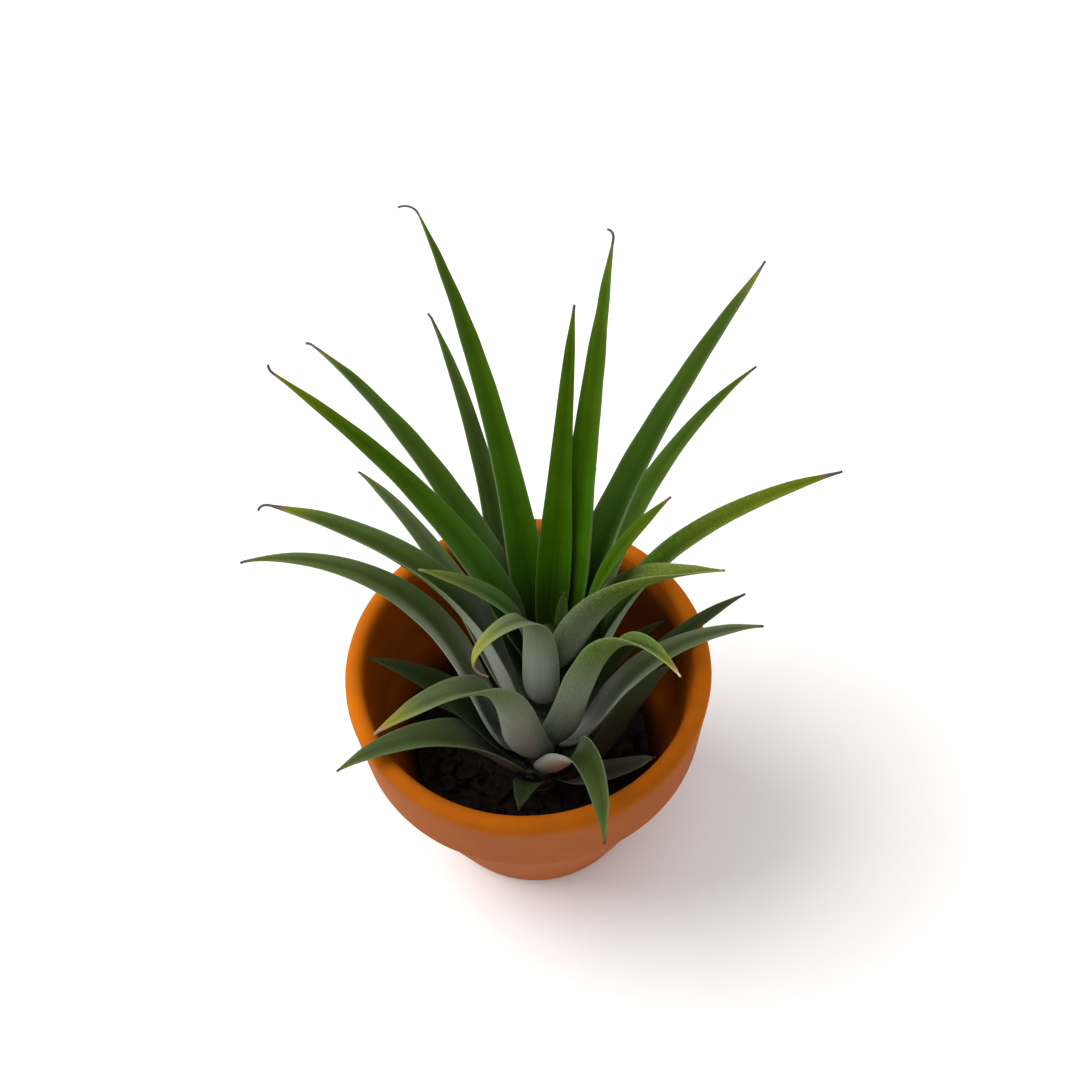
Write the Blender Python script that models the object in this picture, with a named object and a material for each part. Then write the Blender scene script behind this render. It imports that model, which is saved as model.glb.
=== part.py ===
"""Potted pink quill: a rosette of channelled leaves in a small terracotta pot.

Lengths are in millimetres in the tables and turned into metres as the meshes are made.
The origin is the middle of the pot's underside and +Z is up.
"""
import math
from math import cos, radians, sin

import bmesh
import bpy
from mathutils import Euler, Vector, noise

MM = 0.001
GAP = 0.3

# Pot, turned about Z: a tapered body, a shallow band under the rim and a rounded lip
POT_HEIGHT = 46.5
RIM_RADIUS = 32.2
LIP_WIDTH = 3.3
BASE_RADIUS = 18.6
BASE_BEVEL = 1.0
BAND_HEIGHT = 16.5
BAND_FOOT_RADIUS = 30.6
BAND_STEP = 1.1
BAND_EDGE = 0.8
WALL_THICKNESS = 2.9
FLOOR_THICKNESS = 5.0
FLOOR_RADIUS = 15.5
FLOOR_FILLET = 1.2
POT_SEGMENTS = 56

# Potting mix inside the pot
MIX_LEVEL = 18.5
MIX_RELIEF = 0.9
MIX_LUMP = 3.6
MIX_RINGS = 6
MIX_SEGMENTS = 28
MIX_FLAT_RADIUS = 8.8

# Stem: it leans back and a little to the right, out of its hole in the mix
STEM_FOOT = (1.3, -6.2)
LEAN_BACK = 15.0
LEAN_RIGHT = 4.0
STEM_RADIUS = 2.95
STEM_TOP = 34.0
STEM_BUD = 3.0
STEM_ROOT = 9.0
STEM_SEGMENTS = 20
HOLE_RADIUS = STEM_RADIUS + GAP

# Leaf form shared by all leaves
BLADE_THICKNESS = 0.7
FOOT_RADIUS = STEM_RADIUS + GAP + BLADE_THICKNESS / 2
FOOT_WIDTH = 4.6
FOOT_LENGTH = 11.0
TIP_WIDTH = 0.7
SHEATH_PEAK = 17.0
SHEATH_SPREAD = 12.0
SHEATH_SWELL = 0.18
FLARE_FADE = 6.0
CHANNEL_AT_FOOT = 0.70
CHANNEL_AT_TIP = 0.32
ALONG = 15
ACROSS = 4
CROWDING = 1.3
FINE_STEPS = 60

# One row for each leaf, oldest first.
# turn: compass turn about the stem, 0 to the right and 90 to the back, in degrees
# up: height of the leaf's foot on the stem
# long: length along the blade
# rise, tip: slope of the blade above its sheath and at its tip, in degrees
# bend: how late the blade bends over, 1 for evenly
# wide: width of the blade, less its taper and the swelling of its sheath
# taper: how early the blade narrows, near 1 for evenly and less for late
# drift: how far the blade swings round by its tip, in degrees
# flare: how much flatter than rise the leaf leaves the stem, in degrees
# twist: how far the blade turns about its own length by its tip, in degrees
# cup: how much deeper the channel is half-way along, in radians of half its arc
LEAVES = (
    # name, turn, up, long, rise, tip, bend, wide, taper, drift, flare, twist, cup
    ("leaf_front_low", 257, 1.3, 31.5, 58, 11, 2, 6.7, 0.55, 3, 24, -1, -0.05),
    ("leaf_right_low", 338.5, 1.3, 20, 38.5, 44, 1.15, 7.5, 0.65, -0.5, 35, 6, -0.1),
    ("leaf_left_low", 150.5, 1.3, 21.5, 48.5, -36, 2.2, 5.1, 0.7, -3.5, 22, -3, -0.05),
    ("leaf_left_over_rim", 210, 3.5, 45.5, 76, -15, 1.15, 13.1, 0.75, -1.5, 48, 0, 0.2),
    ("leaf_right_under", 316.5, 3.2, 51.5, 73.5, 52, 2.7, 7.4, 0.45, -15.5, 63, -36, -0.1),
    ("leaf_front_drooping", 284.5, 5.1, 57.5, 60, -14, 1.95, 9.9, 0.6, -20, 25, 50, 0.9),
    ("leaf_left_inside", 183, 5.3, 37.5, 67.5, 16, 1.6, 12.3, 0.9, -6, 31, -20, -0.1),
    ("leaf_right_rising", 5.5, 5.7, 46.5, 67.5, 32, 1.75, 8.1, 0.65, -1.5, 46, 5, 0.1),
    ("leaf_back_low", 91.5, 4, 41, 59.5, 56, 1.4, 5, 0.7, 0, 13, 0, 0),
    ("leaf_left_arched", 246.5, 10, 69.5, 73.5, -11, 2.15, 13.5, 0.65, -31.5, 60, 1, 0.8),
    ("leaf_right_inside", 33.5, 7.4, 29.5, 65, 24, 1.5, 4, 0.45, -23.5, 26, 35, 0.5),
    ("leaf_right_long", 343.5, 9.8, 48.5, 82, -10, 1.85, 8.9, 0.95, 25, 65, 50, 0.3),
    ("leaf_left_long", 187, 8.5, 73.5, 82.5, -21, 2, 12.1, 1, -14.5, 65, -50, -0.1),
    ("leaf_back_middle", 71, 10.6, 46, 64, 44, 1.4, 5.2, 0.7, 0, 16, 0, 0),
    ("leaf_right_arched", 291, 11.7, 74, 73, 6, 2.5, 10.3, 0.45, -1, 34, -5, 0.9),
    ("leaf_back_left_short", 134, 13.3, 54.5, 57.5, 4, 1.6, 7, 0.7, -3.5, 21, -3, -0.1),
    ("leaf_heart_hooked", 260.5, 22.2, 51, 86.5, -152, 3.65, 6.4, 0.45, -72, 50, 2, -0.1),
    ("leaf_left_hooked", 185.5, 17.2, 67, 87, -7, 1.35, 13.4, 0.75, -33.5, 44, 1, 0.45),
    ("leaf_right_speckled", 320, 29.6, 46.5, 85, 20, 1.15, 13.5, 0.45, 16, 33, -15, 0.9),
    ("leaf_back_left_grey", 113.5, 15.7, 71.5, 68.5, 43, 1.95, 7.7, 0.8, 9.5, 31, 4, -0.1),
    ("leaf_back_right_upper", 50.5, 18.6, 68.5, 71, 22, 0.85, 7.6, 0.75, -20, 17, -3, 0),
    ("leaf_back_left_upper", 138.5, 22, 74.5, 76, 5, 1.1, 10, 0.6, -7.5, 7, 31, -0.1),
    ("leaf_right_reaching", -15, 21.8, 71, 87, 2, 1.45, 10.4, 0.85, 32.5, 54, 18, 0.35),
    ("leaf_back_right_tall", 40, 23.5, 88, 87, -2, 1.1, 10.3, 0.6, 25, 34, -42, 0.4),
    ("leaf_back_left_tall", 108, 26, 87.5, 87, 9, 0.7, 6.9, 0.5, -1, 27, 37, -0.05),
    ("leaf_left_upper", 161, 29.3, 68.5, 79, 22, 0.8, 9.4, 0.95, -11, 16, -21, -0.1),
    ("leaf_back_hooked", 59.5, 29.3, 78, 81, 83, 0.7, 7.8, 0.55, -14, 31, -19, -0.1),
    ("leaf_left_young", 193.5, 33.6, 28, 82.5, 22, 0.7, 8, 0.85, -11, 0, -5, -0.05),
    ("leaf_right_young", -31, 31.8, 42, 83, 47, 1.8, 6.8, 0.8, 37, 25, 39, -0.1),
    ("leaf_back_straight", 78.5, 31.4, 63.5, 82, 83, 1.3, 6.4, 0.8, -19, 27, 7, -0.1),
    ("leaf_centre_young", 38.5, 33.6, 8, 87, 88, 0.7, 3.2, 0.7, -7, 0, 13, -0.1),
)


def clear_scene():
    for item in list(bpy.data.objects):
        bpy.data.objects.remove(item, do_unlink=True)


def material(name, colour, roughness):
    """A plain Principled material in linear colour."""
    finish = bpy.data.materials.new(name)
    finish.use_nodes = True
    shader = finish.node_tree.nodes["Principled BSDF"]
    shader.inputs["Base Color"].default_value = (*colour, 1.0)
    shader.inputs["Roughness"].default_value = roughness
    shader.inputs["Metallic"].default_value = 0.0
    finish.diffuse_color = (*colour, 1.0)
    return finish


def add_object(name, bm, finish, parent=None, smooth_angle=None):
    """Turn a bmesh into a named object in the scene."""
    mesh = bpy.data.meshes.new(name)
    bm.to_mesh(mesh)
    bm.free()
    mesh.materials.append(finish)
    if smooth_angle is not None:
        mesh.shade_smooth()
        mesh.set_sharp_from_angle(angle=radians(smooth_angle))
    item = bpy.data.objects.new(name, mesh)
    bpy.context.scene.collection.objects.link(item)
    item.parent = parent
    return item


def turned(profile, segments):
    """Spin a profile of (radius, height) pairs that starts and ends on the axis."""
    bm = bmesh.new()
    points = [bm.verts.new((r * MM, 0.0, z * MM)) for r, z in profile]
    edges = [bm.edges.new(pair) for pair in zip(points, points[1:])]
    bmesh.ops.spin(bm, geom=points + edges, cent=(0, 0, 0), axis=(0, 0, 1),
                   angle=2 * math.pi, steps=segments, use_merge=True)
    bmesh.ops.remove_doubles(bm, verts=bm.verts, dist=1e-6)
    bmesh.ops.recalc_face_normals(bm, faces=bm.faces)
    return bm


def arc(centre, radius, start, end, steps):
    """Points on a round corner of the profile, angles in degrees."""
    turns = (radians(start + (end - start) * k / steps) for k in range(steps + 1))
    return [(centre[0] + radius * cos(a), centre[1] + radius * sin(a)) for a in turns]


def inner_radius(height):
    """Radius of the pot's inner wall at a height between its floor and its band."""
    share = (height - FLOOR_THICKNESS) / (POT_HEIGHT - BAND_HEIGHT - FLOOR_THICKNESS)
    neck = BAND_FOOT_RADIUS - BAND_STEP - WALL_THICKNESS
    return FLOOR_RADIUS + (neck - FLOOR_RADIUS) * share


def make_pot(finish):
    lip = LIP_WIDTH / 2
    band_foot = POT_HEIGHT - BAND_HEIGHT
    floor_edge = FLOOR_THICKNESS + FLOOR_FILLET
    foot = [(0, 0)] + arc((BASE_RADIUS - BASE_BEVEL, BASE_BEVEL), BASE_BEVEL, -90, -15, 3)
    waist = [(BAND_FOOT_RADIUS - BAND_STEP, band_foot - BAND_EDGE)]
    band = arc((BAND_FOOT_RADIUS - BAND_EDGE, band_foot + BAND_EDGE), BAND_EDGE, -60, 0, 2)
    rim = arc((RIM_RADIUS - lip, POT_HEIGHT - lip), lip, 0, 180, 8)
    neck = [(inner_radius(band_foot), band_foot)]
    floor = [(inner_radius(floor_edge), floor_edge),
             (FLOOR_RADIUS - FLOOR_FILLET, FLOOR_THICKNESS), (0, FLOOR_THICKNESS)]
    profile = foot + waist + band + rim + neck + floor
    return add_object("pot", turned(profile, POT_SEGMENTS), finish, smooth_angle=40)


def plant_frame():
    """The empty that carries the stem and leaves, leaning with the plant."""
    lean = bpy.data.objects.new("plant_lean", None)
    lean.location = (STEM_FOOT[0] * MM, STEM_FOOT[1] * MM, MIX_LEVEL * MM)
    lean.rotation_euler = Euler((-radians(LEAN_BACK), radians(LEAN_RIGHT), 0.0))
    bpy.context.scene.collection.objects.link(lean)
    return lean


def mix_ring(bm, radius, height, number, relief):
    """One ring of the mix's skin, lumpy where relief is above zero."""
    half_step = 0.5 * (number % 2) if relief else 0.0
    loop = []
    for n in range(MIX_SEGMENTS):
        turn = 2 * math.pi * (n + half_step) / MIX_SEGMENTS
        x, y = radius * cos(turn), radius * sin(turn)
        drop = 0.0
        if math.dist((x, y), STEM_FOOT) > MIX_FLAT_RADIUS:
            drop = relief * (1.0 - noise.cell(Vector((x, y, 0)) / MIX_LUMP))
        loop.append(bm.verts.new((x * MM, y * MM, (height - drop) * MM)))
    return loop


def make_mix(finish, lean):
    """Bark mix: a lumpy top on a plug that fills the pot, with a plain hole for the stem."""
    bottom = FLOOR_THICKNESS + GAP
    floor_edge = FLOOR_THICKNESS + FLOOR_FILLET
    bm = bmesh.new()
    top = bm.verts.new((0, 0, MIX_LEVEL * MM))
    loops = []
    for k in range(1, MIX_RINGS + 1):
        radius = (inner_radius(MIX_LEVEL) - GAP) * k / MIX_RINGS
        loops.append(mix_ring(bm, radius, MIX_LEVEL, k, MIX_RELIEF if k < MIX_RINGS else 0.0))
    loops.append(mix_ring(bm, inner_radius(floor_edge) - GAP, floor_edge + GAP, 0, 0.0))
    loops.append(mix_ring(bm, FLOOR_RADIUS - FLOOR_FILLET - GAP, bottom, 0, 0.0))
    foot = bm.verts.new((0, 0, bottom * MM))
    for n in range(MIX_SEGMENTS):
        m = (n + 1) % MIX_SEGMENTS
        bm.faces.new((top, loops[0][n], loops[0][m]))
        bm.faces.new((foot, loops[-1][m], loops[-1][n]))
        for upper, lower in zip(loops, loops[1:]):
            bm.faces.new((upper[n], lower[n], lower[m]))
            bm.faces.new((upper[n], lower[m], upper[m]))
    bmesh.ops.recalc_face_normals(bm, faces=bm.faces)
    mix = add_object("potting_mix", bm, finish)
    hole = bmesh.new()
    bmesh.ops.create_cone(hole, cap_ends=True, segments=STEM_SEGMENTS, radius1=HOLE_RADIUS * MM,
                          radius2=HOLE_RADIUS * MM, depth=2 * (STEM_ROOT + GAP) * MM)
    cutter = add_object("stem_hole_guide", hole, finish, parent=lean)
    cutter.hide_render = True
    cutter.display_type = "WIRE"
    cut = mix.modifiers.new("stem hole", "BOOLEAN")
    cut.operation = "DIFFERENCE"
    cut.solver = "EXACT"
    cut.object = cutter
    return mix


def make_stem(finish, lean):
    """A short stem, rounded at its root, with a pointed bud at its top."""
    profile = [(0, -STEM_ROOT), (0.8 * STEM_RADIUS, -STEM_ROOT),
               (STEM_RADIUS, 0.5 * STEM_RADIUS - STEM_ROOT), (STEM_RADIUS, STEM_TOP),
               (0.75 * STEM_RADIUS, STEM_TOP + 0.4 * STEM_BUD),
               (0.3 * STEM_RADIUS, STEM_TOP + 0.85 * STEM_BUD), (0, STEM_TOP + STEM_BUD)]
    return add_object("stem", turned(profile, STEM_SEGMENTS), finish, parent=lean, smooth_angle=40)


def blade_width(s, long, wide, taper):
    """Width at a distance along the leaf: a narrow foot, a swollen sheath, a long taper."""
    u = s / long
    narrowed = wide * (1 - u) ** taper + TIP_WIDTH * u
    swollen = narrowed * (1 + SHEATH_SWELL * math.exp(-((s - SHEATH_PEAK) / SHEATH_SPREAD) ** 2))
    grown = sin(math.pi / 2 * min(s / FOOT_LENGTH, 1.0))
    return min(FOOT_WIDTH, wide) * (1 - grown) + swollen * grown


def channel(u, cup):
    """Half the angle of the cross-section's arc at a share of the length, in radians."""
    return CHANNEL_AT_FOOT + (CHANNEL_AT_TIP - CHANNEL_AT_FOOT) * u + cup * sin(math.pi * u)


def midline(turn, up, long, rise, tip, bend, drift, flare, twist):
    """Distance, point, side and inward directions at the leaf's stations, in the plant's own frame."""
    wanted = {round(FINE_STEPS * (k / (ALONG - 1)) ** CROWDING) for k in range(ALONG)}
    step = long / FINE_STEPS
    place = Vector((FOOT_RADIUS * cos(radians(turn)), FOOT_RADIUS * sin(radians(turn)), up))
    rows = []
    for k in range(FINE_STEPS + 1):
        u = k / FINE_STEPS
        slope = radians(rise + (tip - rise) * u ** bend - flare * math.exp(-long * u / FLARE_FADE))
        heading = radians(turn + drift * u * u)
        along = Vector((cos(slope) * cos(heading), cos(slope) * sin(heading), sin(slope)))
        level = Vector((-sin(heading), cos(heading), 0.0))
        side = level * cos(radians(twist * u)) + along.cross(level) * sin(radians(twist * u))
        if k in wanted:
            rows.append((long * u, place.copy(), side, along.cross(side)))
        place += along * step
    return rows


def make_leaf(name, turn, up, long, rise, tip, bend, wide, taper, drift, flare, twist, cup, finish, lean):
    """One channelled blade: a curved sheet of triangles given its thickness."""
    bm = bmesh.new()
    grid = []
    for s, place, side, inward in midline(turn, up, long, rise, tip, bend, drift, flare, twist):
        half = channel(s / long, cup)
        radius = blade_width(s, long, wide, taper) / (2 * half)
        row = []
        for n in range(ACROSS + 1):
            a = half * (2 * n / ACROSS - 1)
            point = place + side * (radius * sin(a)) + inward * (radius * (1 - cos(a)))
            row.append(bm.verts.new(point * MM))
        grid.append(row)
    for low, high in zip(grid, grid[1:]):
        for n in range(ACROSS):
            bm.faces.new((low[n], high[n + 1], high[n]))
            bm.faces.new((low[n], low[n + 1], high[n + 1]))
    leaf = add_object(name, bm, finish, parent=lean, smooth_angle=50)
    solid = leaf.modifiers.new("thickness", "SOLIDIFY")
    solid.thickness = BLADE_THICKNESS * MM
    solid.offset = 0.0
    return leaf


def main():
    clear_scene()
    clay = material("terracotta", (0.42, 0.13, 0.025), 0.75)
    bark = material("bark_mix", (0.035, 0.025, 0.018), 0.95)
    wood = material("stem_green", (0.17, 0.20, 0.13), 0.7)
    green = material("leaf_green", (0.07, 0.13, 0.03), 0.5)
    lean = plant_frame()
    make_pot(clay)
    make_mix(bark, lean)
    make_stem(wood, lean)
    for row in LEAVES:
        make_leaf(*row, green, lean)


if __name__ == "__main__":
    main()
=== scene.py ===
# Potted pink quill: the visible pieces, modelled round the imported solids.
# Lengths in the tables are millimetres, and meshes are made in metres, +Z up,
# with the origin at the middle of the pot's underside.
import math
import random
from math import cos, radians, sin

import bpy
import numpy as np
from bpy.props import FloatProperty, FloatVectorProperty, IntProperty, PointerProperty
from mathutils import Euler, Matrix, Vector, noise


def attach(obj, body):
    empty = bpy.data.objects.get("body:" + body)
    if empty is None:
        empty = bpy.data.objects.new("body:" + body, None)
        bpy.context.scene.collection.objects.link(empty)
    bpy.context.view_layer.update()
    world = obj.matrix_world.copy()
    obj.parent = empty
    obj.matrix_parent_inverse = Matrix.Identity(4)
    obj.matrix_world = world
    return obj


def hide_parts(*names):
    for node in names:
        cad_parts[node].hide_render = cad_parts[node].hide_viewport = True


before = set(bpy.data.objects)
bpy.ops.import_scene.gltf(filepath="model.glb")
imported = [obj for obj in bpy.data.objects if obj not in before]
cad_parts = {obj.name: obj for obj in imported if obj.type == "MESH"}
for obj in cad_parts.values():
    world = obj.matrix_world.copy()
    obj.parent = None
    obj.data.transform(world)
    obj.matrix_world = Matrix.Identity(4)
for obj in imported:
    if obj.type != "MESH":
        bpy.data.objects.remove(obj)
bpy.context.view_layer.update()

bl_info = {
    "name": "Potted pink quill",
    "version": (1, 0, 0),
    "blender": (4, 5, 0),
    "location": "3D View > Sidebar > Quill",
    "description": "Models a small leafy rosette in its terracotta pot",
    "category": "Add Mesh",
}

MM = 0.001

# Pot profile, as in the solids, and the length of the waves in its wall
POT_HEIGHT = 46.5
RIM_RADIUS = 32.2
LIP_WIDTH = 3.3
BASE_RADIUS = 18.6
BASE_BEVEL = 1.0
BAND_HEIGHT = 16.5
BAND_FOOT_RADIUS = 30.6
BAND_STEP = 1.1
BAND_EDGE = 0.8
WALL_THICKNESS = 2.9
FLOOR_THICKNESS = 5.0
FLOOR_RADIUS = 15.5
FLOOR_FILLET = 1.2
THROWN_WAVE = 14.0

# Mix and stem, as in the solids, with the bed a little below the mix's level to bear its lumps
GAP = 0.3
MIX_LEVEL = 18.5
EDGE_DROP = 0.4
MIDDLE_DROP = 0.6
STEM_FOOT = (1.3, -6.2)
LEAN_BACK = 15.0
LEAN_RIGHT = 4.0
STEM_RADIUS = 2.95
STEM_TOP = 34.0
STEM_BUD = 3.0
STEM_ROOT = 9.0
PLANT = (Matrix.Translation(Vector((*STEM_FOOT, MIX_LEVEL)))
         @ Euler((-radians(LEAN_BACK), radians(LEAN_RIGHT), 0.0)).to_matrix().to_4x4())

# Bark chips, as shares of their size and by their places, and the bed's lumps
CHIP_SIZES = (0.55, 1.25)
CHIP_WIDTHS = (0.40, 0.75)
CHIP_HEIGHTS = (0.16, 0.32)
CHIP_SHAKE = 0.14
CHIPS_OFF_WALL = 3.0
CHIPS_OFF_STEM = 1.6
LEVEL_ROUND_STEM = 9.0
LUMP_SIZE = 2.2
LUMP_HEIGHT = 1.2
BED_SIDES = 72

# Leaf form, as in the solids but for two slimmer sheaths
FOOT_RADIUS = 3.6
FOOT_WIDTH = 4.6
FOOT_LENGTH = 11.0
TIP_WIDTH = 0.7
SHEATH_PEAK = 17.0
SHEATH_SPREAD = 12.0
SHEATH_SWELL = 0.18
SLIM_SHEATHS = {"leaf_left_arched": -0.10, "leaf_right_arched": -0.08}
FLARE_FADE = 6.0
CHANNEL_AT_FOOT = 0.70
CHANNEL_AT_TIP = 0.32

# Finer than the solids: how the points thin, and steps along the blade, along its thread and across
LATE_POINT = 4.2
POINTED_TAPER = 0.57
FINE_POINT = 0.35
BLADE_STEPS = 60
THREAD_STEPS = 12
ACROSS_STEPS = 14

# Spacing of a blade's nerves and of the stem's scars
NERVE_SPACING = 0.55
SCAR_SPACING = 2.1

# One row for each leaf, oldest first, as in the solids. A scratch program fitted the numbers to
# lines read from the photo, and they were then rounded.
# turn: compass turn about the stem, 0 to the right and 90 to the back, in degrees
# up: height of the leaf's foot on the stem
# long: length along the blade
# rise, tip: slope of the blade above its sheath and at its tip, in degrees
# bend: how late the blade bends over, 1 for evenly
# wide: width of the blade, less its taper and the swelling of its sheath
# taper: how early the blade narrows, near 1 for evenly and less for late
# drift: how far the blade swings round by its tip, in degrees
# flare: how much flatter than rise the leaf leaves the stem, in degrees
# twist: how far the blade turns about its own length by its tip, in degrees
# cup: how much deeper the channel is half-way along, in radians of half its arc
LEAVES = (
    # name, turn, up, long, rise, tip, bend, wide, taper, drift, flare, twist, cup
    ("leaf_front_low", 257, 1.3, 31.5, 58, 11, 2, 6.7, 0.55, 3, 24, -1, -0.05),
    ("leaf_right_low", 338.5, 1.3, 20, 38.5, 44, 1.15, 7.5, 0.65, -0.5, 35, 6, -0.1),
    ("leaf_left_low", 150.5, 1.3, 21.5, 48.5, -36, 2.2, 5.1, 0.7, -3.5, 22, -3, -0.05),
    ("leaf_left_over_rim", 210, 3.5, 45.5, 76, -15, 1.15, 13.1, 0.75, -1.5, 48, 0, 0.2),
    ("leaf_right_under", 316.5, 3.2, 51.5, 73.5, 52, 2.7, 7.4, 0.45, -15.5, 63, -36, -0.1),
    ("leaf_front_drooping", 284.5, 5.1, 57.5, 60, -14, 1.95, 9.9, 0.6, -20, 25, 50, 0.9),
    ("leaf_left_inside", 183, 5.3, 37.5, 67.5, 16, 1.6, 12.3, 0.9, -6, 31, -20, -0.1),
    ("leaf_right_rising", 5.5, 5.7, 46.5, 67.5, 32, 1.75, 8.1, 0.65, -1.5, 46, 5, 0.1),
    ("leaf_back_low", 91.5, 4, 41, 59.5, 56, 1.4, 5, 0.7, 0, 13, 0, 0),
    ("leaf_left_arched", 246.5, 10, 69.5, 73.5, -11, 2.15, 13.5, 0.65, -31.5, 60, 1, 0.8),
    ("leaf_right_inside", 33.5, 7.4, 29.5, 65, 24, 1.5, 4, 0.45, -23.5, 26, 35, 0.5),
    ("leaf_right_long", 343.5, 9.8, 48.5, 82, -10, 1.85, 8.9, 0.95, 25, 65, 50, 0.3),
    ("leaf_left_long", 187, 8.5, 73.5, 82.5, -21, 2, 12.1, 1, -14.5, 65, -50, -0.1),
    ("leaf_back_middle", 71, 10.6, 46, 64, 44, 1.4, 5.2, 0.7, 0, 16, 0, 0),
    ("leaf_right_arched", 291, 11.7, 74, 73, 6, 2.5, 10.3, 0.45, -1, 34, -5, 0.9),
    ("leaf_back_left_short", 134, 13.3, 54.5, 57.5, 4, 1.6, 7, 0.7, -3.5, 21, -3, -0.1),
    ("leaf_heart_hooked", 260.5, 22.2, 51, 86.5, -152, 3.65, 6.4, 0.45, -72, 50, 2, -0.1),
    ("leaf_left_hooked", 185.5, 17.2, 67, 87, -7, 1.35, 13.4, 0.75, -33.5, 44, 1, 0.45),
    ("leaf_right_speckled", 320, 29.6, 46.5, 85, 20, 1.15, 13.5, 0.45, 16, 33, -15, 0.9),
    ("leaf_back_left_grey", 113.5, 15.7, 71.5, 68.5, 43, 1.95, 7.7, 0.8, 9.5, 31, 4, -0.1),
    ("leaf_back_right_upper", 50.5, 18.6, 68.5, 71, 22, 0.85, 7.6, 0.75, -20, 17, -3, 0),
    ("leaf_back_left_upper", 138.5, 22, 74.5, 76, 5, 1.1, 10, 0.6, -7.5, 7, 31, -0.1),
    ("leaf_right_reaching", -15, 21.8, 71, 87, 2, 1.45, 10.4, 0.85, 32.5, 54, 18, 0.35),
    ("leaf_back_right_tall", 40, 23.5, 88, 87, -2, 1.1, 10.3, 0.6, 25, 34, -42, 0.4),
    ("leaf_back_left_tall", 108, 26, 87.5, 87, 9, 0.7, 6.9, 0.5, -1, 27, 37, -0.05),
    ("leaf_left_upper", 161, 29.3, 68.5, 79, 22, 0.8, 9.4, 0.95, -11, 16, -21, -0.1),
    ("leaf_back_hooked", 59.5, 29.3, 78, 81, 83, 0.7, 7.8, 0.55, -14, 31, -19, -0.1),
    ("leaf_left_young", 193.5, 33.6, 28, 82.5, 22, 0.7, 8, 0.85, -11, 0, -5, -0.05),
    ("leaf_right_young", -31, 31.8, 42, 83, 47, 1.8, 6.8, 0.8, 37, 25, 39, -0.1),
    ("leaf_back_straight", 78.5, 31.4, 63.5, 82, 83, 1.3, 6.4, 0.8, -19, 27, 7, -0.1),
    ("leaf_centre_young", 38.5, 33.6, 8, 87, 88, 0.7, 3.2, 0.7, -7, 0, 13, -0.1),
)

# Dry threads: length, how far the thread swings round, how far it dips, in degrees
THREADS = {
    "leaf_back_left_tall": (5.6, 100, 25),
    "leaf_back_hooked": (3.2, 160, 75),
    "leaf_back_left_upper": (1.8, 40, 20),
    "leaf_left_upper": (2.2, -60, -20),
    "leaf_left_hooked": (3.0, 40, 75),
    "leaf_back_right_tall": (1.4, -10, -30),
    "leaf_back_right_upper": (1.2, 20, 20),
    "leaf_back_left_grey": (1.4, 30, 20),
    "leaf_left_long": (1.0, 10, 10),
    "leaf_right_reaching": (1.0, 5, -15),
    "leaf_right_rising": (1.0, 10, 5),
    "leaf_heart_hooked": (1.0, -30, 10),
}
SHORT_THREAD = (0.7, 8, 8)

# How a leaf ends: where it starts to yellow, how far it yellows, where it dries, how pale it dries
TIPS = {
    "leaf_heart_hooked": (0.72, 0.5, 0.93, 0.5),
    "leaf_left_arched": (0.84, 0.4, 0.985, 0.4),
    "leaf_right_arched": (0.88, 0.25, 0.985, 0.7),
    "leaf_left_young": (0.55, 0.16, 0.985, 0.3),
    "leaf_right_young": (0.60, 0.1, 0.980, 0.2),
    "leaf_right_reaching": (0.45, 0.19, 0.965, 0.0),
    "leaf_left_hooked": (0.86, 0.3, 0.960, 0.0),
    "leaf_left_upper": (0.75, 0.2, 0.992, 0.0),
    "leaf_right_speckled": (0.30, 0.16, 1.100, 0.4),
    "leaf_back_left_upper": (0.88, 0.2, 0.970, 0.0),
    "leaf_back_right_tall": (0.85, 0.25, 0.970, 0.0),
    "leaf_back_left_grey": (0.88, 0.1, 0.970, 0.0),
    "leaf_back_left_short": (0.88, 0.1, 0.975, 0.0),
    "leaf_centre_young": (0.90, 0.0, 1.100, 0.0),
}
PLAIN_TIP = (0.88, 0.1, 0.992, 0.0)

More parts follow.
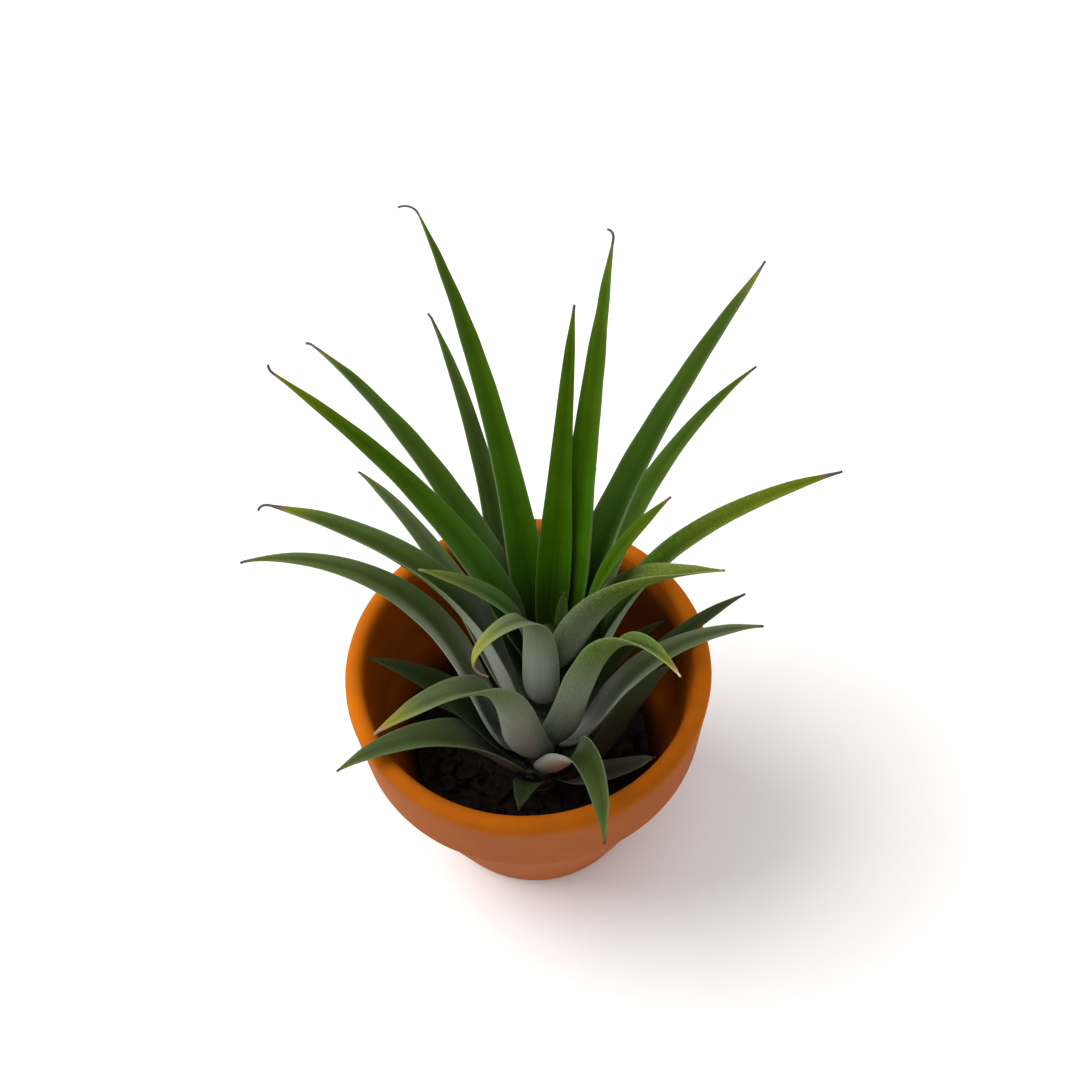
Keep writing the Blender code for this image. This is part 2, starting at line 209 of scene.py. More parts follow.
# Finish of each leaf: scales on its upper face near the foot, a grey haze all over,
# single scales strewn along its margins, and how withered it is, with painted shade dimming leaves in shade
LOOKS = {
    "leaf_front_low": (0.6, 0.08, 0.0, 0.95), "leaf_right_low": (1.0, 0.45, 0.0, 0.10),
    "leaf_left_low": (0.5, 0.05, 0.0, 0.75), "leaf_left_inside": (0.4, 0.05, 0.0, 0.90),
    "leaf_right_inside": (0.4, 0.05, 0.0, 0.75), "leaf_right_under": (0.4, 0.05, 0.0, 1.00),
    "leaf_left_over_rim": (1.3, 0.04, 0.1, 0.25), "leaf_right_rising": (0.4, 0.05, 0.1, 0.64),
    "leaf_back_low": (0.3, 0.05, 0.0, 0.60), "leaf_back_middle": (0.3, 0.05, 0.0, 0.50),
    "leaf_front_drooping": (0.3, 0.0, 0.1, 0.48), "leaf_left_arched": (0.9, 0.14, 0.6, 0.0),
    "leaf_right_arched": (0.5, 0.02, 0.9, 0.0), "leaf_heart_hooked": (1.0, 0.20, 0.7, 0.0),
    "leaf_right_long": (2.2, 0.04, 0.3, 0.0), "leaf_left_long": (1.1, 0.02, 0.2, 0.0),
    "leaf_left_hooked": (1.1, 0.0, 0.3, 0.08), "leaf_right_speckled": (0.6, 0.02, 1.0, 0.0),
    "leaf_right_reaching": (0.2, 0.0, 0.7, 0.10), "leaf_back_left_short": (0.5, 0.12, 0.1, 0.05),
    "leaf_back_left_grey": (0.3, 0.04, 0.1, 0.0), "leaf_left_upper": (0.1, 0.0, 0.1, 0.0),
    "leaf_back_right_tall": (0.1, 0.0, 0.1, 0.25), "leaf_back_left_tall": (0.0, 0.0, 0.0, 0.0),
    "leaf_back_straight": (0.0, 0.0, 0.0, 0.0), "leaf_back_hooked": (0.0, 0.0, 0.0, 0.0),
    "leaf_left_young": (0.2, 0.10, 0.6, 0.0), "leaf_right_young": (0.1, 0.0, 0.1, 0.15),
    "leaf_centre_young": (0.3, 0.05, 0.0, 0.30),
}
PLAIN_LOOK = (0.3, 0.0, 0.1, 0.0)

# How silvery the outer face of the sheath is, where it is not as on most leaves; above 1 it also lifts the
# scales' brightness on both faces, painted light on sheaths that lie in shade
SHEATH_SILVER_AND_PAINTED_LIGHT = {"leaf_right_speckled": 0.65, "leaf_right_arched": 0.85, "leaf_front_drooping": 4.2,
           "leaf_left_long": 1.5, "leaf_left_hooked": 1.5, "leaf_right_long": 2.0}

# Scales along the upper face's front margin near the foot, where they are thick
FRONT_MARGINS = {"leaf_left_long": 1.2, "leaf_left_hooked": 0.9, "leaf_right_long": 0.5}

# Tones that no setting changes
DRY_WALL = (0.43, 0.100, 0.002)
# Upper inner wall: painted shade on the left and painted light on the right
PAINTED_SHADE_HIGH_WALL_LEFT = (0.40, 0.080, 0.002)
PAINTED_LIGHT_HIGH_WALL_RIGHT = (0.62, 0.148, 0.003)
CLAY_GRAINS = (0.55, 0.20, 0.02)
TORN_FIBRE = (0.045, 0.028, 0.018)
FRESH_SHEATH = (0.031, 0.106, 0.0005)
NERVE = (0.11, 0.19, 0.006)
WHOLE_SCALE = (0.36, 0.38, 0.33)
WORN_SCALE = (0.25, 0.33, 0.07)
PALE_MARGIN = (0.26, 0.32, 0.14)
RUST = (0.36, 0.11, 0.01)
WITHERED_AND_SHADED = (0.010, 0.012, 0.007)
STEM_GREY = (0.10, 0.10, 0.075)
STEM_SCAR = (0.05, 0.035, 0.02)
STEM_GREEN = (0.020, 0.045, 0.003)

# Stage, in metres but for the sensor
FLOOR_SIZE = 6.0
FLOOR_DROP = 0.0002
KEY_PLACE = (-1.35, 0.35, 1.65)
KEY_AIM = (0.0, 0.0, 0.05)
KEY_SIZE = 2.0
KEY_COLOUR = (1.0, 0.995, 0.985)
SENSOR_MM = 36.0


class PotSettings(bpy.types.PropertyGroup):
    """Finish of the terracotta pot."""
    clay: FloatVectorProperty(name="Clay", description="Colour of the fired clay", subtype="COLOR",
                              size=3, min=0, max=1, default=(0.40, 0.098, 0.003))
    dust: FloatVectorProperty(name="Dust", description="Colour of the duller outer wall",
                              subtype="COLOR", size=3, min=0, max=1, default=(0.37, 0.106, 0.030))
    # Damp and painted shade: the inner wall's dark over the mix and at the back
    damp: FloatVectorProperty(name="Damp", description="Colour of the damp inner wall above the mix",
                              subtype="COLOR", size=3, min=0, max=1, default=(0.012, 0.003, 0.0003))
    sides: IntProperty(name="Sides", description="Facets round the pot", default=144, min=24, max=256)
    unevenness: FloatProperty(name="Unevenness", description="How far the thrown wall wanders from round",
                              unit="LENGTH", default=0.00018, min=0, max=0.001)


class MixSettings(bpy.types.PropertyGroup):
    """Bark mix in the pot."""
    # Bark colour: darker than damp bark, as painted shade down in the pot
    bark: FloatVectorProperty(name="Bark", description="Colour of the damp bark", subtype="COLOR",
                              size=3, min=0, max=1, default=(0.012, 0.008, 0.006))
    chips: IntProperty(name="Chips", description="Bark chips lying on the bed", default=190, min=0, max=400)
    chip_size: FloatProperty(name="Chip size", description="Typical length of a bark chip",
                             unit="LENGTH", default=0.0038, min=0.001, max=0.01)


class LeafSettings(bpy.types.PropertyGroup):
    """Form and finish shared by the leaves."""
    thickness: FloatProperty(name="Thickness", description="Thickness in the middle of the sheath",
                             unit="LENGTH", default=0.0008, min=0.0003, max=0.001)
    margin: FloatProperty(name="Margin", description="Share of the thickness left at the margins",
                          subtype="FACTOR", default=0.3, min=0.1, max=1)
    ripple: FloatProperty(name="Ripple", description="How far the margins wander", unit="LENGTH",
                          default=0.00022, min=0, max=0.0005)
    young: FloatVectorProperty(name="Young green", description="Blade colour of the inner leaves",
                               subtype="COLOR", size=3, min=0, max=1, default=(0.036, 0.083, 0.0004))
    old: FloatVectorProperty(name="Old green", description="Blade colour of the outer leaves",
                             subtype="COLOR", size=3, min=0, max=1, default=(0.050, 0.082, 0.012))
    scales: FloatVectorProperty(name="Scales", description="Colour of the silvery scales",
                                subtype="COLOR", size=3, min=0, max=1, default=(0.31, 0.32, 0.285))
    yellow: FloatVectorProperty(name="Yellow", description="Colour of a yellowing tip",
                                subtype="COLOR", size=3, min=0, max=1, default=(0.35, 0.34, 0.008))
    dry: FloatVectorProperty(name="Dry", description="Colour of a dry tip", subtype="COLOR",
                             size=3, min=0, max=1, default=(0.095, 0.080, 0.083))
    bleached: FloatVectorProperty(name="Bleached", description="Colour of the palest dry tips",
                                  subtype="COLOR", size=3, min=0, max=1, default=(0.60, 0.45, 0.30))


class StageSettings(bpy.types.PropertyGroup):
    """Floor, light and camera."""
    floor: FloatVectorProperty(name="Floor", description="Colour of the floor", subtype="COLOR",
                               size=3, min=0, max=1, default=(0.985, 0.985, 0.985))
    sky: FloatProperty(name="Sky", description="Strength of the light from all round", default=0.72,
                       min=0, max=4)
    key: FloatProperty(name="Key", description="Power of the large overhead light", subtype="POWER",
                       default=44.0, min=0, max=200)
    elevation: FloatProperty(name="Elevation", description="Height of the camera above the horizon",
                             subtype="ANGLE", default=radians(55.5), min=0, max=radians(90))
    roll: FloatProperty(name="Roll", description="Turn of the camera about its own axis",
                        subtype="ANGLE", default=radians(-3.33))
    distance: FloatProperty(name="Distance", description="From the camera to the point it aims at",
                            unit="LENGTH", default=0.400, min=0.1)
    aim_right: FloatProperty(name="Aim right", description="Aim point's place along X", unit="LENGTH",
                             default=0.00346)
    aim_up: FloatProperty(name="Aim up", description="Aim point's height", unit="LENGTH", default=0.0852)
    lens: FloatProperty(name="Lens", description="Focal length on a 36 mm sensor", subtype="DISTANCE_CAMERA",
                        default=82.2, min=10)


# Working in the viewport


def deselect():
    if bpy.context.object and bpy.context.object.mode != "OBJECT":
        bpy.ops.object.mode_set(mode="OBJECT")
    bpy.ops.object.select_all(action="DESELECT")


def pick(*pieces):
    """Select these pieces alone, the first one active."""
    deselect()
    for piece in pieces:
        piece.select_set(True)
    bpy.context.view_layer.objects.active = pieces[0]


def apply_modifiers(piece):
    pick(piece)
    for name in [m.name for m in piece.modifiers]:
        bpy.ops.object.modifier_apply(modifier=name)


def smooth(piece, degrees):
    pick(piece)
    bpy.ops.object.shade_smooth_by_angle(angle=radians(degrees))


def settle(*pieces):
    """Put each piece's place into its mesh, with its object at the origin."""
    pick(*pieces)
    bpy.ops.object.transform_apply(location=True, rotation=True, scale=True)


def hand_over(piece, slot, finish, *nodes):
    """Give a finished piece its finish and its body, and hide the imported node it stands for."""
    piece.data.materials.append(finish)
    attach(piece, "root")
    if nodes:
        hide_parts(*nodes)


def turn_profile(name, profile, sides):
    """Draw a profile of (radius, height) pairs point by point and spin it about Z."""
    deselect()
    bpy.ops.mesh.primitive_plane_add(size=MM, location=(0, 0, 0))
    piece = bpy.context.object
    piece.name = piece.data.name = name
    bpy.ops.object.mode_set(mode="EDIT")
    bpy.ops.mesh.select_all(action="SELECT")
    bpy.ops.mesh.merge(type="CENTER")
    spot = Vector((profile[0][0] * MM, 0.0, profile[0][1] * MM))
    bpy.ops.transform.translate(value=spot)
    for radius, height in profile[1:]:
        point = Vector((radius * MM, 0.0, height * MM))
        bpy.ops.mesh.extrude_region_move(TRANSFORM_OT_translate={"value": point - spot})
        spot = point
    bpy.ops.mesh.select_all(action="SELECT")
    bpy.ops.mesh.spin(steps=sides, angle=2 * math.pi, center=(0, 0, 0), axis=(0, 0, 1))
    bpy.ops.mesh.select_all(action="SELECT")
    bpy.ops.mesh.remove_doubles(threshold=MM / 100)
    bpy.ops.mesh.normals_make_consistent(inside=False)
    bpy.ops.object.mode_set(mode="OBJECT")
    return piece


def arc(centre, radius, start, end, steps):
    """Points on a round corner of a profile, angles in degrees."""
    turns = (radians(start + (end - start) * k / steps) for k in range(steps + 1))
    return [(centre[0] + radius * cos(a), centre[1] + radius * sin(a)) for a in turns]


def line(start, end, steps):
    """Points between two ends of a profile, without the ends."""
    return [tuple(np.array(start) + (np.array(end) - np.array(start)) * k / steps) for k in range(1, steps)]


def roughen(piece, name, size, strength, **settings):
    """Push a piece's surface in and out by a procedural texture."""
    texture = bpy.data.textures.new(name, "CLOUDS")
    texture.noise_scale = size
    push = piece.modifiers.new(name, "DISPLACE")
    push.texture = texture
    push.texture_coords = "LOCAL"
    push.strength = strength
    for key, value in settings.items():
        setattr(push, key, value)
    apply_modifiers(piece)
    bpy.data.textures.remove(texture)


# Materials. In their node trees, places on a piece are metres and places on a blade millimetres.


def put(tree, socket, value):
    """Link a socket, or set its value."""
    if isinstance(value, bpy.types.NodeSocket):
        tree.links.new(value, socket)
    elif socket.type == "RGBA":
        socket.default_value = (*value[:3], 1.0)
    else:
        socket.default_value = value


def add(tree, kind, inputs=(), **settings):
    """One shader node with its settings and inputs."""
    node = tree.nodes.new("ShaderNode" + kind)
    for key, value in settings.items():
        setattr(node, key, value)
    for key, value in dict(inputs).items():
        put(tree, node.inputs[key], value)
    return node


def calc(tree, operation, *values):
    """Arithmetic on single values."""
    return add(tree, "Math", enumerate(values), operation=operation).outputs[0]


def blend(tree, share, first, second):
    """Mix two colours."""
    return add(tree, "Mix", {0: share, 6: first, 7: second}, data_type="RGBA").outputs[2]


def scaled(tree, colour, gain):
    """A colour made lighter or darker."""
    node = add(tree, "VectorMath", {0: colour}, operation="SCALE")
    put(tree, node.inputs["Scale"], gain)
    return node.outputs[0]


def span(tree, value, low, high, to_low=0.0, to_high=1.0, easing="SMOOTHSTEP"):
    """Carry a value from one range to another, held at both ends."""
    node = add(tree, "MapRange", {"Value": value, "From Min": low, "From Max": high,
                                  "To Min": to_low, "To Max": to_high}, interpolation_type=easing)
    return node.outputs[0]


def reading(tree, name, output="Fac"):
    """One of the piece's own attributes."""
    return add(tree, "Attribute", attribute_name=name).outputs[output]


def new_group(name, inputs, outputs):
    """A shader node group with named sockets; returns it with the sockets at its two ends."""
    group = bpy.data.node_groups.new(name, "ShaderNodeTree")
    for label, kind, value in inputs:
        socket = group.interface.new_socket(label, in_out="INPUT", socket_type=kind)
        if value is not None:
            socket.default_value = value
    for label, kind in outputs:
        group.interface.new_socket(label, in_out="OUTPUT", socket_type=kind)
    return group, group.nodes.new("NodeGroupInput").outputs, group.nodes.new("NodeGroupOutput").inputs


def give_out(group, ends, **results):
    """Link a group's results to its outputs."""
    for name, socket in results.items():
        group.links.new(socket, ends[name])
    return group


def mottle_group():
    """Cloudy change of a colour between a darker and a lighter tone of itself."""
    if "mottle" in bpy.data.node_groups:
        return bpy.data.node_groups["mottle"]
    group, given, ends = new_group("mottle", [
        ("Place", "NodeSocketVector", None), ("Colour", "NodeSocketColor", (0.5, 0.5, 0.5, 1.0)),
        ("Scale", "NodeSocketFloat", 100.0), ("Amount", "NodeSocketFloat", 0.3)],
        [("Colour", "NodeSocketColor"), ("Mask", "NodeSocketFloat")])
    cloud = add(group, "TexNoise", {"Vector": given["Place"], "Scale": given["Scale"],
                                    "Detail": 6.0, "Roughness": 0.62})
    mask = span(group, cloud.outputs["Fac"], 0.32, 0.68)
    swing = calc(group, "MULTIPLY", calc(group, "SUBTRACT", mask, 0.5), given["Amount"])
    gain = calc(group, "MULTIPLY_ADD", swing, 2.0, 1.0)
    return give_out(group, ends, Colour=scaled(group, given["Colour"], gain), Mask=mask)


def grain_group():
    """Fine pits and grit: a height for bump and a mask of scattered grains."""
    if "grain" in bpy.data.node_groups:
        return bpy.data.node_groups["grain"]
    group, given, ends = new_group("grain", [
        ("Place", "NodeSocketVector", None), ("Scale", "NodeSocketFloat", 900.0),
        ("Pits", "NodeSocketFloat", 0.5)],
        [("Height", "NodeSocketFloat"), ("Grains", "NodeSocketFloat")])
    fine = add(group, "TexNoise", {"Vector": given["Place"], "Scale": given["Scale"],
                                   "Detail": 4.0, "Roughness": 0.7})
    cells = add(group, "TexVoronoi", {"Vector": given["Place"], "Scale": given["Scale"], "Randomness": 1.0})
    grains = calc(group, "MULTIPLY", span(group, cells.outputs["Distance"], 0.12, 0.30, 1.0, 0.0),
                  span(group, cells.outputs["Color"], 0.62, 0.80))
    height = calc(group, "SUBTRACT", fine.outputs["Fac"], calc(group, "MULTIPLY", grains, given["Pits"]))
    return give_out(group, ends, Height=height, Grains=grains)


def use_group(tree, group, inputs):
    node = tree.nodes.new("ShaderNodeGroup")
    node.node_tree = group
    for key, value in inputs.items():
        put(tree, node.inputs[key], value)
    return node


def mottled(tree, place, colour, scale, amount):
    """The mottle group set on a place and a colour."""
    return use_group(tree, mottle_group(), {"Place": place, "Colour": colour, "Scale": scale,
                                            "Amount": amount})


def gritty(tree, place, scale, pits):
    """The grain group set on a place."""
    return use_group(tree, grain_group(), {"Place": place, "Scale": scale, "Pits": pits})


def new_material(name, roughness, specular):
    """An empty Principled material; returns it with its tree and shader."""
    finish = bpy.data.materials.new(name)
    finish.use_nodes = True
    tree = finish.node_tree
    shader = tree.nodes["Principled BSDF"]
    shader.inputs["Roughness"].default_value = roughness
    shader.inputs["Specular IOR Level"].default_value = specular
    return finish, tree, shader


def bump(tree, shader, height, depth, strength):
    node = add(tree, "Bump", {"Height": height, "Distance": depth, "Strength": strength})
    tree.links.new(node.outputs[0], shader.inputs["Normal"])


def inner_wall(tree, settings, x, y, height, shifted, lip):
    """Inner face of the pot: damp and painted shade over the mix, painted shade at the back, and painted
    light up to the lip, lighter on the right and darker on the left.
    """
    # Painted shade on the upper left of the inner wall and painted light on its upper right, growing up to
    # the lip
    high = blend(tree, span(tree, x, -0.018, 0.010), PAINTED_SHADE_HIGH_WALL_LEFT, PAINTED_LIGHT_HIGH_WALL_RIGHT)
    dry = blend(tree, span(tree, shifted, 0.034, 0.042), DRY_WALL, high)
    # Damp and painted shade over the mix, and painted shade at the back of the wall where the leaves shade
    # it
    low = span(tree, shifted, 0.018, 0.0295, 1.0, 0.0)
    away = calc(tree, "MULTIPLY_ADD", x, 0.5, y)
    back = calc(tree, "MULTIPLY", span(tree, away, 0.008, 0.024, 0.0, 0.85),
                span(tree, shifted, 0.040, 0.0455, 1.0, 0.0))
    damp_and_painted_shade = blend(tree, calc(tree, "MAXIMUM", low, back), dry, settings.damp)
    return blend(tree, span(tree, height, 0.0430, 0.0456), damp_and_painted_shade, lip)


def inside_mask(tree, x, y, height):
    """Where the pot's surface lies inside a cone that runs within its wall, above its floor."""
    radius = calc(tree, "SQRT", calc(tree, "ADD", calc(tree, "POWER", x, 2.0), calc(tree, "POWER", y, 2.0)))
    cone = calc(tree, "MULTIPLY_ADD", height, 0.30, 0.0183)
    within = span(tree, calc(tree, "SUBTRACT", radius, cone), -0.0004, 0.0004, 1.0, 0.0)
    return calc(tree, "MULTIPLY", within, span(tree, height, 0.0040, 0.0048))


def clay_material(settings):
    """Unglazed terracotta: bright lip with painted shade at its front and painted light at its back, duller
    wall with painted shade at its front, inside darkened by damp and painted shade up to a line, fine grit.
    """
    finish, tree, shader = new_material("terracotta_clay", 0.8, 0.04)
    place = add(tree, "TexCoord").outputs["Object"]
    x, y, height = add(tree, "SeparateXYZ", {0: place}).outputs
    wander = add(tree, "TexNoise", {"Vector": place, "Scale": 90.0, "Detail": 4.0}).outputs["Fac"]
    shifted = calc(tree, "MULTIPLY_ADD", calc(tree, "SUBTRACT", wander, 0.5), 0.003, height)
    below = span(tree, shifted, 0.0425, 0.0455, 1.0, 0.0)
    # Painted shade on the front of the lip and painted light towards its back
    lip = scaled(tree, settings.clay, span(tree, y, -0.026, -0.004, 0.86, 1.25))
    # Painted shade on the front of the outer wall
    dust_with_front_shade = scaled(tree, settings.dust, span(tree, y, -0.030, -0.012, 0.86, 1.0))
    wall = inner_wall(tree, settings, x, y, height, shifted, lip)
    tone = blend(tree, inside_mask(tree, x, y, height), blend(tree, below, lip, dust_with_front_shade), wall)
    clouds = mottled(tree, place, tone, 140.0, 0.05)
    broad = mottled(tree, place, clouds.outputs["Colour"], 35.0, 0.05)
    grit = gritty(tree, place, 1500.0, 0.6)
    grainy = blend(tree, calc(tree, "MULTIPLY", grit.outputs["Grains"], 0.15),
                   broad.outputs["Colour"], CLAY_GRAINS)
    put(tree, shader.inputs["Base Color"], grainy)
    put(tree, shader.inputs["Roughness"], span(tree, clouds.outputs["Mask"], 0.0, 1.0, 0.66, 0.86))
    rings = add(tree, "TexNoise", {"Vector": add(tree, "CombineXYZ", {"Z": height}).outputs[0],
                                   "Scale": 900.0, "Detail": 2.0}).outputs["Fac"]
    bump(tree, shader, calc(tree, "MULTIPLY_ADD", rings, 0.5, grit.outputs["Height"]), 0.00020, 0.25)
    return finish


def bark_material(settings):
    """Dark damp bark, darkened further as painted shade, with lighter torn fibres."""
    finish, tree, shader = new_material("damp_bark", 0.8, 0.15)
    place = add(tree, "TexCoord").outputs["Object"]
    tone = mottled(tree, place, settings.bark, 420.0, 0.8)
    long_way = add(tree, "Mapping", {"Vector": place, "Scale": (1.0, 5.0, 3.0)})
    threads = add(tree, "TexNoise", {"Vector": long_way.outputs[0], "Scale": 500.0, "Detail": 5.0})
    fibre = threads.outputs["Fac"]
    torn = span(tree, fibre, 0.56, 0.72, 0.0, 0.55)
    colour = blend(tree, torn, tone.outputs["Colour"], TORN_FIBRE)
    put(tree, shader.inputs["Base Color"], colour)
    put(tree, shader.inputs["Roughness"], span(tree, fibre, 0.3, 0.7, 0.6, 0.92))
    grit = gritty(tree, place, 1200.0, 0.7)
    bump(tree, shader, calc(tree, "ADD", grit.outputs["Height"], fibre), 0.0005, 0.7)
    return finish


def scale_group():
    """Silvery scales in lengthwise rows: where they lie, and the height of scales and nerves."""
    if "scale rows" in bpy.data.node_groups:
        return bpy.data.node_groups["scale rows"]
    group, given, ends = new_group("scale rows", [
        ("Blade", "NodeSocketVector", None), ("Cover", "NodeSocketFloat", 0.5)],
        [("Mask", "NodeSocketFloat"), ("Height", "NodeSocketFloat"), ("Nerves", "NodeSocketFloat")])
    cells = add(group, "Mapping", {"Vector": given["Blade"], "Scale": (4.2, 3.0, 1.0)})
    dots = add(group, "TexVoronoi", {"Vector": cells.outputs[0], "Scale": 1.0, "Randomness": 0.6})
    radius = span(group, given["Cover"], 0.0, 1.0, 0.08, 0.85, "LINEAR")
    mask = span(group, dots.outputs["Distance"], calc(group, "SUBTRACT", radius, 0.22), radius, 1.0, 0.0)
    across = add(group, "SeparateXYZ", {0: given["Blade"]}).outputs["X"]
    long_way = add(group, "Mapping", {"Vector": given["Blade"], "Scale": (2.6, 0.05, 1.0)})
    streak = add(group, "TexNoise", {"Vector": long_way.outputs[0], "Scale": 1.0, "Detail": 3.0})
    wave = calc(group, "SINE", calc(group, "MULTIPLY", across, 2 * math.pi / NERVE_SPACING))
    nerves = calc(group, "MULTIPLY_ADD", wave, 0.06, streak.outputs["Fac"])
    height = calc(group, "MULTIPLY_ADD", mask, 0.5, nerves)
    return give_out(group, ends, Mask=mask, Height=height, Nerves=nerves)


def painted_skin_shade(tree, along, edge, under):
    """Painted shade on the skin: darker down the channel, and outside where the sheath rounds away."""
    deeper = calc(tree, "MULTIPLY_ADD", reading(tree, "strewn"), 0.24, 0.30)
    channel = calc(tree, "MULTIPLY", span(tree, edge, 0.0, 0.65, deeper, 0.0),
                   calc(tree, "SUBTRACT", 1.0, under))
    rounding = span(tree, along, 0.15, 0.50, 0.42, 0.16)
    turned = calc(tree, "MULTIPLY", span(tree, edge, 0.35, 1.0, 0.0, rounding), under)
    return calc(tree, "SUBTRACT", 1.06, calc(tree, "ADD", channel, turned))


def blade_green(tree, settings, along, age, shade):
    """Green of the blade under its scales, with painted shade darkening it low in the young heart."""
    fresh = blend(tree, span(tree, along, 0.30, 0.75), FRESH_SHEATH, settings.young)
    green = blend(tree, span(tree, age, 0.10, 0.75, 0.0, 1.0, "LINEAR"), fresh, settings.old)
    # Painted shade: darker towards the foot, most on the young leaves of the heart
    low = span(tree, age, 0.1, 0.5, 0.22, 0.85)
    shaded_at_foot = scaled(tree, green, span(tree, along, 0.05, 0.27, low, 1.0))
    tone = mottled(tree, reading(tree, "blade", "Vector"), scaled(tree, shaded_at_foot, shade), 0.16, 0.10)
    return tone.outputs["Colour"]


def scale_cover(tree, along, edge, under, age):
    """How thickly scales cover the skin: outside on the sheath, inside near the foot."""
    outer = calc(tree, "MULTIPLY", under, span(tree, along, 0.20, 0.62, 0.90, 0.04))
    outer = calc(tree, "MULTIPLY", outer, reading(tree, "sheath"))
    scurf = calc(tree, "MULTIPLY", reading(tree, "scurf"), span(tree, along, 0.10, 0.55, 0.8, 0.05))
    edged = calc(tree, "MULTIPLY", scurf, span(tree, edge, 0.2, 0.9, 0.6, 1.4))
    inner = calc(tree, "MULTIPLY", calc(tree, "SUBTRACT", 1.0, under),
                 calc(tree, "ADD", edged, reading(tree, "front")))
    covered = span(tree, age, 0.0, 0.25, 0.3, 1.0, "LINEAR")
    return calc(tree, "MULTIPLY", calc(tree, "ADD", outer, inner), covered)


def scaly_skin(tree, settings, green, shade, cover, rows):
    """The green with its nerves, under a silvery haze and single scales."""
    nerves = rows.outputs["Nerves"]
    nerved = blend(tree, span(tree, nerves, 0.25, 0.85, 0.0, 0.14, "LINEAR"), green, NERVE)
    # Painted light: a sheath factor above 1 lifts the scales past their own colour, while the painted shade
    # darkens them
    bright = calc(tree, "MULTIPLY", shade, calc(tree, "MAXIMUM", reading(tree, "sheath"), 1.0))
    streaks = span(tree, nerves, 0.30, 0.75, 0.90, 1.10, "LINEAR")
    silver = scaled(tree, settings.scales, calc(tree, "MULTIPLY", bright, streaks))
    hazy = blend(tree, calc(tree, "MULTIPLY_ADD", cover, 0.75, reading(tree, "haze")), nerved, silver)
    fine = calc(tree, "MULTIPLY", rows.outputs["Mask"], span(tree, cover, 0.0, 0.6, 0.02, 0.34, "LINEAR"))
    return blend(tree, fine, hazy, scaled(tree, WHOLE_SCALE, shade))


def speckle(tree, blade):
    """Sparse single scales, strewn where the cover has worn thin."""
    spread = add(tree, "Mapping", {"Vector": blade, "Scale": (3.8, 2.8, 1.0)})
    dots = add(tree, "TexVoronoi", {"Vector": spread.outputs[0], "Scale": 1.0, "Randomness": 1.0})
    return span(tree, dots.outputs["Distance"], 0.18, 0.38, 1.0, 0.0)


def edged_skin(tree, skin, edge, age):
    """Worn scales strewn along the margins, and a pale line at the very edge."""
    rim = calc(tree, "MULTIPLY", span(tree, edge, 0.15, 0.95, 0.25, 0.75), reading(tree, "strewn"))
    strewn = calc(tree, "MULTIPLY", rim, speckle(tree, reading(tree, "blade", "Vector")))
    margin = calc(tree, "MULTIPLY", calc(tree, "POWER", edge, 12.0), span(tree, age, 0.0, 0.4, 0.15, 0.42))
    return blend(tree, margin, blend(tree, strewn, skin, WORN_SCALE), PALE_MARGIN)


def aged_skin(tree, settings, skin):
    """Yellow, then rust, then dry towards the tip, and duller all over on withered leaves, with painted
    shade on leaves that lie in shade.
    """
    gold, dry = reading(tree, "gold"), reading(tree, "dry")
    yellowed = blend(tree, gold, skin, settings.yellow)
    straw = blend(tree, reading(tree, "bleach"), settings.dry, settings.bleached)
    turning = calc(tree, "MULTIPLY", calc(tree, "SUBTRACT", dry, calc(tree, "POWER", dry, 2.0)), 8.0)
    rusty = blend(tree, calc(tree, "MULTIPLY", turning, gold), yellowed, RUST)
    dried = blend(tree, dry, rusty, straw)
    # Withering and painted shade: the leaf's share darkens and dulls it all over
    return blend(tree, calc(tree, "MULTIPLY", reading(tree, "withered_and_shaded"), 0.85), dried, WITHERED_AND_SHADED)


def leaf_material(settings):
    """Leaf skin: green blade, silvery scales outside, pale margin, yellow and dry tip."""
    finish, tree, shader = new_material("leaf_skin", 0.5, 0.02)
    along, edge, under, age = (reading(tree, name) for name in ("along", "edge", "under", "age"))
    shade = painted_skin_shade(tree, along, edge, under)
    green = blade_green(tree, settings, along, age, shade)
    cover = scale_cover(tree, along, edge, under, age)
    rows = use_group(tree, scale_group(), {"Blade": reading(tree, "blade", "Vector"), "Cover": cover})
    scaly = scaly_skin(tree, settings, green, shade, cover, rows)
    put(tree, shader.inputs["Base Color"], aged_skin(tree, settings, edged_skin(tree, scaly, edge, age)))
    put(tree, shader.inputs["Roughness"], span(tree, cover, 0.0, 0.9, 0.45, 0.75, "LINEAR"))
    bump(tree, shader, rows.outputs["Height"], 0.00010, 0.35)
    return finish


def stem_material(leaf):
    """Scarred stem, grey with old scales, brown where sheaths have rotted, green at its top."""
    finish, tree, shader = new_material("stem_skin", 0.75, 0.15)
    place = add(tree, "TexCoord").outputs["Object"]
    tone = mottled(tree, place, STEM_GREY, 380.0, 0.6)
    height = add(tree, "SeparateXYZ", {0: place}).outputs["Z"]
    scars = calc(tree, "SINE", calc(tree, "MULTIPLY", height, 2 * math.pi / (SCAR_SPACING * MM)))
    ringed = blend(tree, span(tree, scars, 0.55, 1.0, 0.0, 0.7), tone.outputs["Colour"], STEM_SCAR)
    scaly = blend(tree, calc(tree, "MULTIPLY", tone.outputs["Mask"], 0.2), ringed, leaf.scales)
    fresh = blend(tree, span(tree, height, 0.034, 0.044), scaly, STEM_GREEN)
    put(tree, shader.inputs["Base Color"], fresh)
    grit = gritty(tree, place, 1700.0, 0.5)
    bump(tree, shader, calc(tree, "ADD", grit.outputs["Height"], scars), 0.0002, 0.6)
    return finish


